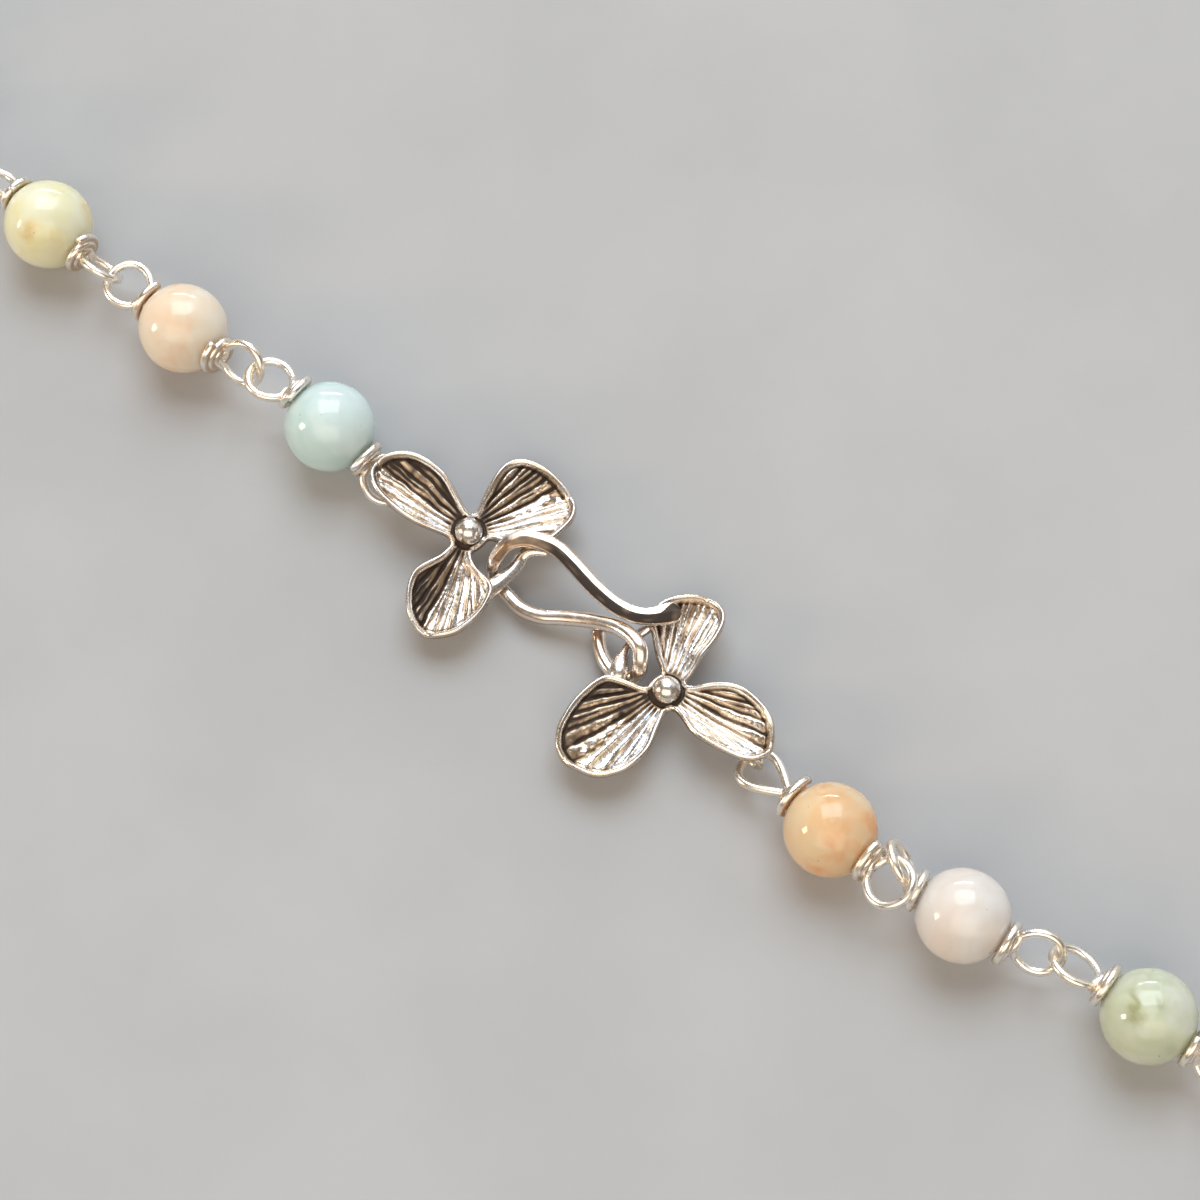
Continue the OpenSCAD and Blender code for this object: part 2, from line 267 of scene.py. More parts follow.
def carried_frames(path):
    """Side, upward and forward directions along a path, carried on without twist."""
    ahead = unit(np.gradient(path, axis=0))
    start = np.eye(3)[2 if abs(ahead[0][2]) < 0.9 else 1]
    side = start - ahead[0] * (start @ ahead[0])
    sides = []
    for direction in ahead:
        side = side - direction * (side @ direction)
        side = side / np.linalg.norm(side)
        sides.append(side)
    return np.array(sides), np.cross(ahead, sides), ahead


def tube(path, radius, around, end=0.07):
    """A closed round tube along a path, with slightly rounded cut ends."""
    end_share = 0.7
    sides, ups, ahead = carried_frames(path)
    path = np.vstack([path[:1] - ahead[:1] * end, path, path[-1:] + ahead[-1:] * end])
    radius = np.full(len(path) - 2, radius)
    radius = np.concatenate([radius[:1] * end_share, radius, radius[-1:] * end_share])[:, None]
    sides, ups = (np.vstack([v[:1], v, v[-1:]]) for v in (sides, ups))
    a = circle(around)
    return swept(path, sides, ups, radius * np.cos(a), radius * np.sin(a))


# The chain of links, as in the part's source

START_X, STOP_X, FRONT_Y = LEFT_FRONT[2][0], RIGHT_FRONT[0][0], LEFT_FRONT[2][1]
RUN_IN, RUN_OUT = STRAIGHT + START_X, STRAIGHT - STOP_X
END_R = ((FAR_BEADS + 1) * PITCH - RUN_IN - RUN_OUT - 2 * STRAIGHT) / (2 * math.pi)
HALF_TURN = math.pi * END_R
# Rolls of the guessed eyes: the middle one, how far they swing, and their change from bead to bead.
MIDDLE_ROLL, ROLL_SWING, ROLL_STEP = 45, 24, 97
# Links that are rolled a little more, and by how much, which keeps their eyes clear.
ROLLED_MORE, MORE_ROLL = (15, 27), 3


def spot(d):
    """Place and yaw on the guessed part of the loop, at a distance along it."""
    a = d - RUN_IN
    b = a - HALF_TURN
    c = b - 2 * STRAIGHT
    e = c - HALF_TURN
    if a < 0:
        return START_X - d, FRONT_Y, 0
    if b < 0:
        t = a / END_R
        return (-STRAIGHT - END_R * math.sin(t), FRONT_Y + END_R * (1 - math.cos(t)), -math.degrees(t))
    if c < 0:
        return b - STRAIGHT, FRONT_Y + 2 * END_R, -180
    if e < 0:
        t = c / END_R
        return (STRAIGHT + END_R * math.sin(t), FRONT_Y + END_R * (1 + math.cos(t)),
                -180 - math.degrees(t))
    return STRAIGHT - e, FRONT_Y, -360


def roll_right(i):
    """A guessed link's right roll, which is the middle one beside the front links."""
    swing = 0 if i in (1, FAR_BEADS + 1) else ROLL_SWING
    return MIDDLE_ROLL + swing * math.sin(math.radians(ROLL_STEP * i))


def far_link(i):
    """A guessed link. Its left eye stands square to the next link's right eye."""
    more = MORE_ROLL if i in ROLLED_MORE else 0
    left, right = 90 - roll_right(i + 1) + more, roll_right(i) + more
    return *spot(i * PITCH), 0, (left, 0, 0, EYE_R), (right, 0, 0, EYE_R)


LINKS = LEFT_FRONT + [far_link(i) for i in range(1, FAR_BEADS + 1)] + RIGHT_FRONT


def is_front(i):
    """Whether a link is one of those beside the clasp, whose meshes are finer."""
    return i < len(LEFT_FRONT) or i >= len(LINKS) - len(RIGHT_FRONT)


def link_frame(link):
    """Where a link's bead is, and how the link is turned."""
    turn = turned("z", link[2]) @ turned("y", -link[3])
    return np.array([*link[:2], BEAD_R]), turn


# Materials

def new_material(name):
    material = bpy.data.materials.new(name)
    material.use_nodes = True
    tree = material.node_tree
    return material, tree, tree.nodes["Principled BSDF"]


def feed(tree, node, inputs):
    """Give a node its inputs: outputs of other nodes, or plain values."""
    for name, value in inputs.items():
        if isinstance(value, bpy.types.NodeSocket):
            tree.links.new(value, node.inputs[name])
        else:
            node.inputs[name].default_value = value


def add_node(tree, kind, inputs, output=0, **settings):
    """Add a node with its settings and inputs, and return one of its outputs."""
    node = tree.nodes.new(kind)
    for name, value in settings.items():
        setattr(node, name, value)
    feed(tree, node, inputs)
    return node.outputs[output]


def object_place(tree):
    return add_node(tree, "ShaderNodeTexCoord", {}, "Object")


def stored_number(tree, name):
    return add_node(tree, "ShaderNodeAttribute", {}, "Fac", attribute_name=name)


def shifted_place(tree):
    """Object coordinates moved by a number stored on the mesh, so that pieces differ."""
    number = stored_number(tree, "shift")
    spread = add_node(tree, "ShaderNodeCombineXYZ", {k: number for k in range(3)})
    return add_node(tree, "ShaderNodeVectorMath", {0: object_place(tree), 1: spread}, operation="ADD")


def noise_node(tree, place, size, detail=3.0, rough=0.55, distortion=0.0):
    """Noise whose features are about size metres wide."""
    inputs = {"Vector": place, "Scale": 1 / size, "Detail": detail, "Roughness": rough,
              "Distortion": distortion}
    return add_node(tree, "ShaderNodeTexNoise", inputs, "Fac")


def span(tree, value, low_in, high_in, low_out=0.0, high_out=1.0):
    """A smooth step from low_out to high_out as the value goes from low_in to high_in."""
    inputs = {"Value": value, "From Min": low_in, "From Max": high_in, "To Min": low_out,
              "To Max": high_out}
    return add_node(tree, "ShaderNodeMapRange", inputs, "Result", interpolation_type="SMOOTHSTEP")


def blend(tree, share, first, second):
    first, second = ((*c, 1.0) if isinstance(c, tuple) else c for c in (first, second))
    return add_node(tree, "ShaderNodeMix", {0: share, 6: first, 7: second}, 2, data_type="RGBA")


def calculate(tree, operation, *values):
    return add_node(tree, "ShaderNodeMath", dict(enumerate(values)), operation=operation)


def bump(tree, height, strength, distance):
    inputs = {"Height": height, "Strength": strength, "Distance": distance}
    return add_node(tree, "ShaderNodeBump", inputs, "Normal")


# Silver: its white haze, and the shares of the warm tone's light and colours that bronze keeps.
FROST_COLOUR = (0.78, 0.86, 0.95)
BRONZE_SHARE, BRONZE_TINT = 0.68, (1.0, 0.8, 0.62)
# Levels of tarnish and painted shade between which bronze and the dark colour come in, and how
# rough and metallic that is.
BRONZE_FROM_TO, DARK_FROM_TO = (0.04, 0.5), (0.28, 0.85)
DARK_ROUGHNESS, DARK_METAL = 0.28, 0.7
# Widths in metres of the patches of tarnish and of the warm drifts.
PATCH_W, DRIFT_W = 0.0012, 0.0031


def silver(name, bright, warm, dark, roughness, grain, grain_depth, patchiness):
    """Silver with warm and cool drifts, bronze and then dark where the number for tarnish and painted
    shade rises.
    """
    material, tree, shader = new_material(name)
    place = object_place(tree)
    patchy = noise_node(tree, place, PATCH_W, 1.5, 0.45)
    shift = calculate(tree, "MULTIPLY_ADD", patchy, patchiness, -0.5 * patchiness)
    tarnish_and_shade = calculate(tree, "ADD", stored_number(tree, "tarnish_and_shade"), shift)
    drift = span(tree, noise_node(tree, place, DRIFT_W, 2.0), 0.38, 0.64)
    metal = blend(tree, drift, bright, warm)
    metal = blend(tree, stored_number(tree, "frost"), metal, FROST_COLOUR)
    bronze = tuple(BRONZE_SHARE * c * t for c, t in zip(warm, BRONZE_TINT))
    colour = blend(tree, span(tree, tarnish_and_shade, *BRONZE_FROM_TO), metal, bronze)
    deep = span(tree, tarnish_and_shade, *DARK_FROM_TO)
    fine = noise_node(tree, place, grain, 3.0, 0.6)
    rough = span(tree, fine, 0.3, 0.7, roughness, roughness + 0.12)
    rough = calculate(tree, "ADD", rough, calculate(tree, "MULTIPLY", deep, DARK_ROUGHNESS))
    feed(tree, shader, {"Base Color": blend(tree, deep, colour, dark), "Roughness": rough,
                        "Metallic": span(tree, deep, 0.0, 1.0, 1.0, DARK_METAL),
                        "Normal": bump(tree, fine, 0.4, grain_depth)})
    return material


# Stone: widths in metres of what shows in and on it, and how far light goes into it.
CLOUD_W, VEIN_W, VEINED_W, STAIN_W, SPECK_W, POLISH_W = 0.0034, 0.0036, 0.0046, 0.0017, 0.00042, 0.0014
LIGHT_DEPTH = 0.0022


def veins_share(tree, place):
    """Thin lines where a noise crosses its middle, in some places only."""
    band = noise_node(tree, place, VEIN_W, 2.0, 0.5, 0.6)
    ridge = calculate(tree, "ABSOLUTE", calculate(tree, "SUBTRACT", band, 0.5))
    thin = span(tree, ridge, 0.0, 0.075, 1.0, 0.0)
    veined = span(tree, noise_node(tree, place, VEINED_W, 1.0), 0.46, 0.64)
    return calculate(tree, "MULTIPLY", thin, veined)


def stains_share(tree, place):
    """The stain number that is stored on the bead, with a ragged edge."""
    stain = stored_number(tree, "stain")
    ragged = noise_node(tree, place, STAIN_W, 4.0, 0.55, 0.5)
    share = span(tree, calculate(tree, "MULTIPLY_ADD", stain, 0.42, ragged), 0.5, 1.0)
    return calculate(tree, "MULTIPLY", share, span(tree, stain, 0.03, 0.5))


def stone(name, body, cloud, vein, vein_strength, clearness):
    """Polished cloudy beryl: drifting clouds, thin veins, stains and dark specks under a gloss."""
    material, tree, shader = new_material(name)
    place = shifted_place(tree)
    clouds = span(tree, noise_node(tree, place, CLOUD_W, 2.5, 0.5, 0.9), 0.34, 0.68)
    colour = blend(tree, clouds, body, cloud)
    veins = calculate(tree, "MULTIPLY", veins_share(tree, place), vein_strength)
    colour = blend(tree, veins, colour, vein)
    colour = blend(tree, stains_share(tree, place), colour, vein)
    speck = span(tree, noise_node(tree, place, SPECK_W, 1.0, 0.5), 0.77, 0.82)
    colour = blend(tree, calculate(tree, "MULTIPLY", speck, 0.6), colour,
                          tuple(c * 0.3 for c in vein))
    feed(tree, shader, {"Base Color": colour, "Roughness": span(tree, clouds, 0.0, 1.0, 0.035, 0.055),
                        "IOR": 1.5, "Transmission Weight": clearness,
                        "Subsurface Weight": 1.0, "Subsurface Radius": (1, 1, 1),
                        "Subsurface Scale": LIGHT_DEPTH,
                        "Normal": bump(tree, noise_node(tree, place, POLISH_W, 2.0), 0.05, 0.00004)})
    return material


# Colours of body, clouds and veins, how strong the veins are, and how clear the stone is.
STONE_COLOURS = {
    "aqua": ((0.63, 0.83, 0.81), (0.77, 0.92, 0.91), (0.52, 0.50, 0.38), 0.25, 0.28),
    "peach": ((0.99, 0.73, 0.56), (0.99, 0.84, 0.71), (0.84, 0.50, 0.30), 0.3, 0.2),
    "yellow": ((0.96, 0.87, 0.54), (0.98, 0.94, 0.73), (0.76, 0.54, 0.24), 0.4, 0.24),
    "green": ((0.75, 0.81, 0.62), (0.88, 0.92, 0.80), (0.40, 0.38, 0.18), 0.6, 0.42),
    "milky": ((0.91, 0.81, 0.74), (0.95, 0.90, 0.86), (0.80, 0.64, 0.48), 0.3, 0.3),
    "orange": ((0.98, 0.60, 0.34), (0.99, 0.73, 0.49), (0.88, 0.42, 0.17), 0.3, 0.3),
}
STONES = {kind + "_stone": stone(kind + "_beryl", *look) for kind, look in STONE_COLOURS.items()}
CAST_SILVER = silver("cast_silver", (0.83, 0.83, 0.84), (0.85, 0.79, 0.70), (0.046, 0.031, 0.023),
                     roughness=0.2, grain=0.00018, grain_depth=0.000002, patchiness=0.4)
WIRE_SILVER = silver("wire_silver", (0.96, 0.94, 0.90), (0.95, 0.88, 0.77), (0.12, 0.085, 0.055),
                     roughness=0.24, grain=0.0006, grain_depth=0.000001, patchiness=0.1)
HOOK_SILVER = silver("hook_silver", (0.92, 0.88, 0.84), (0.91, 0.78, 0.66), (0.045, 0.033, 0.026),
                     roughness=0.17, grain=0.0005, grain_depth=0.000003, patchiness=0.34)


# Beads

# Stains on the front beads: bead, direction from its middle, width, strength.
STAINS = [
    (36, (0.70, 0.55, 0.55), 1.3, 0.6), (36, (0.28, -0.42, 0.86), 0.75, 0.7),
    (36, (-0.55, 0.55, 0.62), 0.7, 0.6), (36, (0.25, -0.9, 0.3), 1.2, 0.5),
    (35, (0.85, 0.1, 0.5), 1.0, 0.5), (34, (-0.3, -0.35, 0.88), 0.9, 0.7),
    (34, (0.3, 0.3, 0.9), 0.6, 0.5), (3, (0.1, -0.6, 0.78), 0.9, 0.55),
    (2, (-0.5, 0.5, 0.6), 0.5, 0.6), (1, (-0.1, 0.2, 0.95), 0.35, 0.5),
]

# A drill hole's rounded edge, and the shares by which a bead is smaller and uneven.
LIP = 0.12
SHRUNK, UNEVEN, FINER_UNEVEN = 0.013, 0.010, 0.004


def bead_profile():
    """Distance along the drill axis and away from it, once round the drilled section."""
    first = math.asin((HOLE_R + LIP) / BEAD_R)
    outer = [(BEAD_R * math.cos(a), BEAD_R * math.sin(a))
             for a in np.linspace(first, math.pi - first, 45)]
    lip = [(outer[0][0] - deep, HOLE_R + LIP * share)
           for deep, share in ((0.01, 0.5), (0.06, 0.12), (0.2, 0))]
    left = [(-x, r) for x, r in lip]
    middle = [(-1.2, HOLE_R), (1.2, HOLE_R)]
    return np.array(outer + left + middle + lip[::-1])


def stain_at(number, places):
    """How stained a bead is at places given in its radii from its middle."""
    stain = np.zeros(len(places))
    for bead, where, width, strength in STAINS:
        if bead == number:
            where = np.array(where) / np.linalg.norm(where)
            gap = lengths(places - where) * BEAD_R
            stain = np.maximum(stain, strength * np.exp(-(gap / width) ** 2))
    return stain


def make_bead(i):
    number = i + 1
    node = f"bead_{number:02d}"
    centre, turn = link_frame(LINKS[i])
    profile = bead_profile()
    around = 112 if is_front(i) else 56
    a = circle(around)
    local = grid_points(profile[:, :1], profile[:, 1:] * np.cos(a), profile[:, 1:] * np.sin(a))
    direction = unit(local)
    outside = ramp((lengths(local[:, 1:]) - HOLE_R - 0.1) / 0.4)
    seed = 10 * number
    uneven = (UNEVEN * noise(*(direction * 1.3 + 7 * number).T, seed)
              + FINER_UNEVEN * noise(*(direction * 2.6 + 3 * number).T, seed + 1))
    local = local * (1 + (uneven - SHRUNK) * outside)[:, None]
    placed = local @ turn.T
    shape = Shape()
    shape.add(placed + centre, grid_faces(len(profile), around, close_rows=True))
    slot = next(s["material_slot"] for s in frame["record"]["subparts"] if s["node"] == node)
    mesh = shape.make(f"stone_{number:02d}", node, STONES[slot])
    store(mesh, "stain", stain_at(number, placed / BEAD_R))
    store(mesh, "shift", np.full(len(placed), 0.0173 * number))


for i in range(len(LINKS)):
    make_bead(i)


# Wire: through the bead, out into an eye, and back in turns that hug the bead

# Turns round the wire: number, first radius, widening, start, length, and where the cut end lifts.
TURNS, TURN_R, TURNS_WIDEN, TURNS_START, TURNS_BACK, LIFT_FROM = 2.15, 0.52, 0.81, 0.07, 0.36, 0.94
EYE_MOUTH = 0.27
# How far cut ends lift off: the usual lift, and others by bead and side.
LIFT = 0.03
LIFTS = {(2, 0): 0.16, (36, 0): 0.22, (36, 1): 0.2, (35, 0): 0.08}
# How much an eye narrows towards its bead, how soon, and how far its wires part sideways.
PINCH = (0.12, 1.5, 0.1)
PINCHED = {(36, 0): (0.8, 1.1, 0.28), (2, 1): (0.3, 1.5, 0.1)}
# How dark the turns are painted where they face each other: painted shade between the turns.
TURN_PAINTED_SHADE = 0.42


def eye_line(eye, hand, lift):
    """The wire on one side, from the bead's middle outwards, in the side's own directions."""
    roll, tilt, turn, radius, (pinch, early, parting) = eye

    def narrow(phi):
        return 1 - pinch * (0.5 + 0.5 * math.cos(phi)) ** early

    start = math.acos(1 - EYE_MOUTH / radius)
    close = min(1, narrow(start) / 0.85)
    rows = [(along, 0, 0, 0) for along in (-3.45, -2.4, -1.4, -0.75, -0.4)]
    rows += [(-0.1, -0.02, 0, 0), (0.11, -0.16 * close, 0, 0.3), (0.2, -0.42 * close, -0.02, 0.7)]
    for phi in np.linspace(start, 2 * math.pi - start, 23):
        along, aside = radius * (1 - math.cos(phi)), -radius * math.sin(phi) * narrow(phi)
        rows.append((along, aside, parting * (phi / math.pi - 1), 1))
    rows += [(0.17, 0.5 * close, 0.24, 0.6), (0.06, 0.24, 0.42, 0.3)]
    steps = round(TURNS * 15)
    for k in range(steps + 1):
        t = k / steps
        angle = math.radians(90 + 360 * TURNS * t)
        away = TURN_R + TURNS_WIDEN * t + lift * max(t - LIFT_FROM, 0) / (1 - LIFT_FROM)
        along = -TURNS_START - TURNS_BACK * t ** 1.3
        rows.append((along, away * math.cos(angle), away * math.sin(angle), 0))
    rows = np.array(rows)
    rows = np.vstack([rows[:5], smooth(rows[5:], (len(rows) - 5) * 2 - 1)])
    points = rows[:, :3] * (1, hand, 1)
    bent = np.array([turned("z", b * turn) @ turned("y", -b * tilt) @ turned("x", roll) @ p
                     for p, b in zip(points, rows[:, 3])])
    return bent + (NECK, 0, 0)


def wire_path(i):
    """One link's wire from the last of its left turns to the last of its right turns."""
    link = LINKS[i]
    centre, turn = link_frame(link)
    both = []
    for side in (0, 1):
        hand = 1 if (i + side) % 2 else -1
        pinch = PINCHED.get((i + 1, side), PINCH)
        line = eye_line((*link[4 + side], pinch), hand, LIFTS.get((i + 1, side), LIFT))
        both.append(line if side else (line * (-1, -1, 1))[::-1])
    return np.vstack(both) @ turn.T + centre


def make_wire(name, first):
    shape = Shape()
    for i in range(first, first + len(LINKS) // 2):
        around = 14 if is_front(i) else 10
        points, faces = tube(wire_path(i), WIRE_R, around)
        rings = points.reshape(-1, around, 3)
        middles = rings.mean(axis=1)
        centre, turn = link_frame(LINKS[i])
        facing = np.abs((rings - middles[:, None]) @ turn[:, 0]) / WIRE_R
        along = np.abs((middles - centre) @ turn[:, 0])
        aside = lengths(np.cross(middles - centre, turn[:, 0]))
        # Painted shade: the sides of the turns that face each other are darkened.
        in_turns = ramp((NECK + 0.06 - along) / 0.1) * ramp((aside - 0.3) / 0.15)
        dark = in_turns[:, None] * TURN_PAINTED_SHADE * ramp((facing - 0.5) / 0.5)
        shape.add(points, faces, dark.reshape(-1))
    shape.make(name + "_links", name, WIRE_SILVER)


make_wire("wire_left", 0)
make_wire("wire_right", len(LINKS) // 2)


# Flowers: each is one casting whose petals run into each other round the ball

BALL_R = 0.9
# Rim: width at the tips and by the ball, height, tarnish, and its top's distance from the outline.
RIM_W, INNER_RIM_W, RIM_H, RIM_TONE, INSET = 0.43, 0.34, 0.27, 0.2, 0.18
# The radius at which the petals melt together, and how softly.
HUB_R, MELT = 1.22, 0.45
RIB_SPACE = 0.46
# Spacing of points on the upper face, the underside and an edge, and of the grid that finds edges.
FINE, COARSE, STEP, CELL = 0.056, 0.34, 0.07, 0.08
# Lines of points beside the edge that carry the rim's crown, and their distance.
CROWN_LINES, CROWN_STEP = 7, 0.042
# Edge from the rim's top down: its rounded steps and their drop, the lower steps as a share of
# INSET and a drop, the tone of all steps, darker lower down as painted shade, and the tarnish
# of the underside.
EDGE_ANGLES, EDGE_DROP = (18, 36, 54, 72, 90), 0.26
LOWER_EDGE = [(1, 0.36), (0.85, 0.46), (0.5, 0.54), (0, 0.58)]
EDGE_TONE_AND_SHADE, UNDER_TARNISH = [RIM_TONE, 0.22, 0.28, 0.36, 0.44, 0.5, 0.5, 0.5, 0.5], 0.3
# The way in the plane towards which each petal's half with painted shade lies.
PAINTED_SHADE_WAY = (0.34, 0.94)
RING_WIRE_R = 0.27

# Each petal: how far behind the ball its ribs start to fan, how strongly painted shade darkens
# its one half and its grooves, and how much tarnish lies all over it.
PETAL_RIBS_SHADE_TONE = {"left": [(3.6, 1.0, 0.0), (1.2, 0.66, 0.0), (1.0, 0.8, 0.12)],
          "right": [(1.8, 0.2, 0.1), (2.0, 0.45, 0.0), (0.9, 1.0, 0.0)]}

# Rows of pebbly lumps along two petals' creases: distance out, across, radius of each lump.
LUMPS = {
    ("left", 1): [(3.3, 0.05, 0.2), (3.8, -0.15, 0.24), (4.4, 0.0, 0.28), (5.0, 0.12, 0.24),
                  (5.6, 0.2, 0.27), (6.15, 0.05, 0.22), (5.2, 1.05, 0.22), (5.75, 1.15, 0.24)],
    ("right", 2): [(3.6, -0.15, 0.22), (4.3, -0.2, 0.26), (5.0, -0.1, 0.24), (5.7, -0.3, 0.3),
                   (6.4, -0.2, 0.24), (6.9, -0.75, 0.3)],
}


def right_hand(line):
    """The direction to the right of the way ahead, at each point of a closed line."""
    ahead = np.roll(line, -1, axis=0) - np.roll(line, 1, axis=0)
    return unit(np.column_stack([ahead[:, 1], -ahead[:, 0]]))


def outline(rows, seed):
    """A petal's rounded outline, once round it clockwise, evenly spaced."""
    count, softening = 260, 0.26
    root = rows[0]
    edge = smooth([(-0.4, root[1] * 0.8, root[2] * 0.8)] + rows, 160)
    ring = np.vstack([edge[:, [0, 1]], edge[::-1][:, [0, 2]]])
    for _ in range(2):
        closed = np.vstack([ring, ring[:1]])
        along = np.concatenate([[0], np.cumsum(lengths(np.diff(closed, axis=0)))])
        at = np.linspace(0, along[-1], count, endpoint=False)
        ring = np.stack([np.interp(at, along, closed[:, k]) for k in (0, 1)], axis=1)
        width = softening / (along[-1] / count)
        reach = np.minimum(np.arange(count), count - np.arange(count))
        kernel = np.exp(-0.5 * (reach / width) ** 2)
        kernel /= kernel.sum()
        wave = np.fft.fft(ring, axis=0) * np.fft.fft(kernel)[:, None]
        ring = np.real(np.fft.ifft(wave, axis=0))
    drawn_in = 0.035 + 0.03 * noise(*(ring * 0.6).T, 0.5, seed)
    return ring + right_hand(ring) * drawn_in[:, None]


def inner_distance(points, ring):
    """How far each point is inside a closed outline, negative outside."""
    best = np.full(len(points), 1e9)
    inside = np.zeros(len(points), bool)
    for p, q in zip(ring, np.roll(ring, -1, axis=0)):
        along = q - p
        away = points - p
        t = np.clip((away @ along) / (along @ along), 0, 1)
        best = np.minimum(best, (away[:, 0] - t * along[0]) ** 2 + (away[:, 1] - t * along[1]) ** 2)
        if p[1] != q[1]:
            crosses = (points[:, 1] < p[1]) != (points[:, 1] < q[1])
            inside ^= crosses & (away[:, 0] < away[:, 1] * along[0] / along[1])
    return np.sqrt(best) * np.where(inside, 1, -1)


def soft_larger(a, b, reach):
    """The larger of two numbers, rounded off where they are nearly the same."""
    near = np.maximum(reach - np.abs(a - b), 0)
    return np.maximum(a, b) + near * near / (4 * reach)


def to_petal(petal, points):
    """Points round the flower's middle as distances out along a petal and across it."""
    return points @ turned("z", petal[0])[:2, :2]


def edge_distances(petals, rings, points):
    """How far inside the whole casting each point is, and how far inside each petal."""
    total = HUB_R - lengths(points)
    own = []
    for petal, ring in zip(petals, rings):
        own.append(inner_distance(to_petal(petal, points), ring))
        total = soft_larger(total, own[-1], MELT)
    return total, own


def walk_round(field, corner, start, level):
    """Points a step apart, once anticlockwise round the line where a gridded field has a level."""
    def at(x, y):
        u, v = (x - corner[0]) / CELL, (y - corner[1]) / CELL
        i, j = int(u), int(v)
        s, t = u - i, v - j
        return (1 - s, s) @ (field[i:i + 2, j:j + 2] @ (1 - t, t)) - level

    def uphill(x, y):
        gx = at(x + CELL, y) - at(x - CELL, y)
        gy = at(x, y + CELL) - at(x, y - CELL)
        size = math.hypot(gx, gy)
        return gx / size, gy / size

    def settle(x, y):
        for _ in range(4):
            gx, gy = uphill(x, y)
            miss = at(x, y)
            x, y = x - gx * miss, y - gy * miss
        return x, y

    line = [settle(*start)]
    while True:
        x, y = line[-1]
        gx, gy = uphill(x, y)
        x, y = settle(x + STEP * gy, y - STEP * gx)
        if len(line) > 9 and math.hypot(x - line[0][0], y - line[0][1]) < 0.8 * STEP:
            return np.array(line)
        line.append((x, y))


def petal_base(petal, out, across, table):
    """The plain height of a petal's upper face, with its folded middle."""
    length = petal[3][-1][0]
    far = out / length
    middle = np.interp(out, table[:, 0], (table[:, 1] + table[:, 2]) / 2)
    half = np.interp(out, table[:, 0], (table[:, 1] - table[:, 2]) / 2)
    t = np.clip(np.abs(across - middle) / np.maximum(half, 0.9), 0, 1)
    t = np.sqrt(t * t + 0.01) - 0.09
    spine = petal[1] + (petal[2] - petal[1]) * far + 0.12 * np.sin(np.pi * np.clip(far, 0, 1))
    deep = ramp((far - 0.1) / 0.3) * ramp((1.04 - far) / 0.3)
    return spine + 0.45 * t * ramp((far - 0.12) / 0.35) - 0.38 * (1 - t) ** 1.3 * deep


def side_shade(petal, across):
    """1 on the half of a petal that is darkened with painted shade, 0 on the other half."""
    a = math.radians(petal[0])
    side = 1 if math.cos(a) * PAINTED_SHADE_WAY[0] + math.sin(a) * PAINTED_SHADE_WAY[1] > 0 else -1
    return ramp(0.5 + across * side * 0.8)


def rib_pattern(out, across, start, seed):
    """A petal's fan of ribs: its angle, the place counted in ribs, and the cuts between the ribs."""
    step = math.degrees(RIB_SPACE / (3 + start))
    fan = np.degrees(np.arctan2(across, out + start))
    fan = (fan + 0.9 * noise(out * 0.5, fan * 0.11, 3.0, seed) * ramp((out - 1) / 2)
           + 0.4 * noise(out * 1.5, fan * 0.33, 1.0, seed + 1))
    place = fan / step
    rib = np.round(place)
    spacing = np.hypot(across, out + start) * math.radians(step)
    width = (0.045 + 0.075 * spacing) / spacing
    deepness = 0.6 + 0.5 * lattice(rib.astype(np.int64) + 50, 0, 0, seed + 2)
    groove = np.exp(-((place - rib) / width) ** 2) * deepness
    between = place - np.floor(place) - 0.5
    split = lattice(np.floor(place).astype(np.int64) + 90, 0, 0, seed + 3) > 0.5
    branch = np.exp(-(between / (width * 0.8)) ** 2) * split * ramp((out - 3.4) / 1.4) * 0.7
    return fan, place, np.maximum(groove, branch)


def petal_relief(petal, out, across, edge, away, name, k, seed):
    """A petal's ribs and lumps over its plain height, its tarnish with painted shade, and its shaded
    half.
    """
    start, painted_shade_strength, tone = PETAL_RIBS_SHADE_TONE[name][k]
    fan, place, cuts = rib_pattern(out, across, start, seed)
    shade = side_shade(petal, across) * painted_shade_strength
    broken = np.clip(0.8 + 0.45 * noise(out * 1.2, fan * 0.25, 2.0, seed + 4), 0.3, 1.2)
    inside = ramp((edge - RIM_W * 0.8) / 0.25)
    size = np.minimum(0.05 + 0.022 * out, 0.15) * ramp((away - 1.12) / 0.35)
    size = size * (1 - 0.35 * shade * ramp((out - 2.5) / 2))
    ridge = -0.28 * np.cos(2 * np.pi * place)
    relief = size * (0.25 + ridge - 1.25 * cuts * broken) * inside
    relief = relief + inside * ramp(out - 1) * (0.014 * noise(out * 5.5, across * 5.5, 0.0, seed + 5)
                                                + 0.008 * noise(out * 11, across * 11, 0.0, seed + 6))
    # Tarnish in the grooves, heavier on the half with painted shade.
    tarnish_and_shade = 1.1 * cuts * inside * ramp((away - 1.1) / 0.3) * (0.3 + 0.15 * painted_shade_strength + 0.6 * shade)
    # Painted shade over the darker half, mottled, and the petal's tarnish all over.
    valley = 0.5 + 0.5 * noise(out * 0.7, place * 0.8, 0.0, seed + 8)
    mottle = 0.5 + 0.5 * noise(out * 3.2, across * 3.2, 0.0, seed + 9)
    tarnish_and_shade = tarnish_and_shade + inside * (shade * (0.2 + 0.45 * valley + 0.35 * mottle) + tone)
    for far, side, radius in LUMPS.get((name, k), []):
        uneven = 1.1 + 0.3 * noise(out * 3.7, across * 3.7, 0.0, seed + 7)
        lump = np.exp(-(np.hypot((out - far) / 1.2, across - side) / (radius * uneven)) ** 2.4)
        relief = relief * (1 - 0.6 * lump) + 0.08 * lump
        tarnish_and_shade = tarnish_and_shade * (1 - 0.65 * lump)
    return relief, tarnish_and_shade, shade


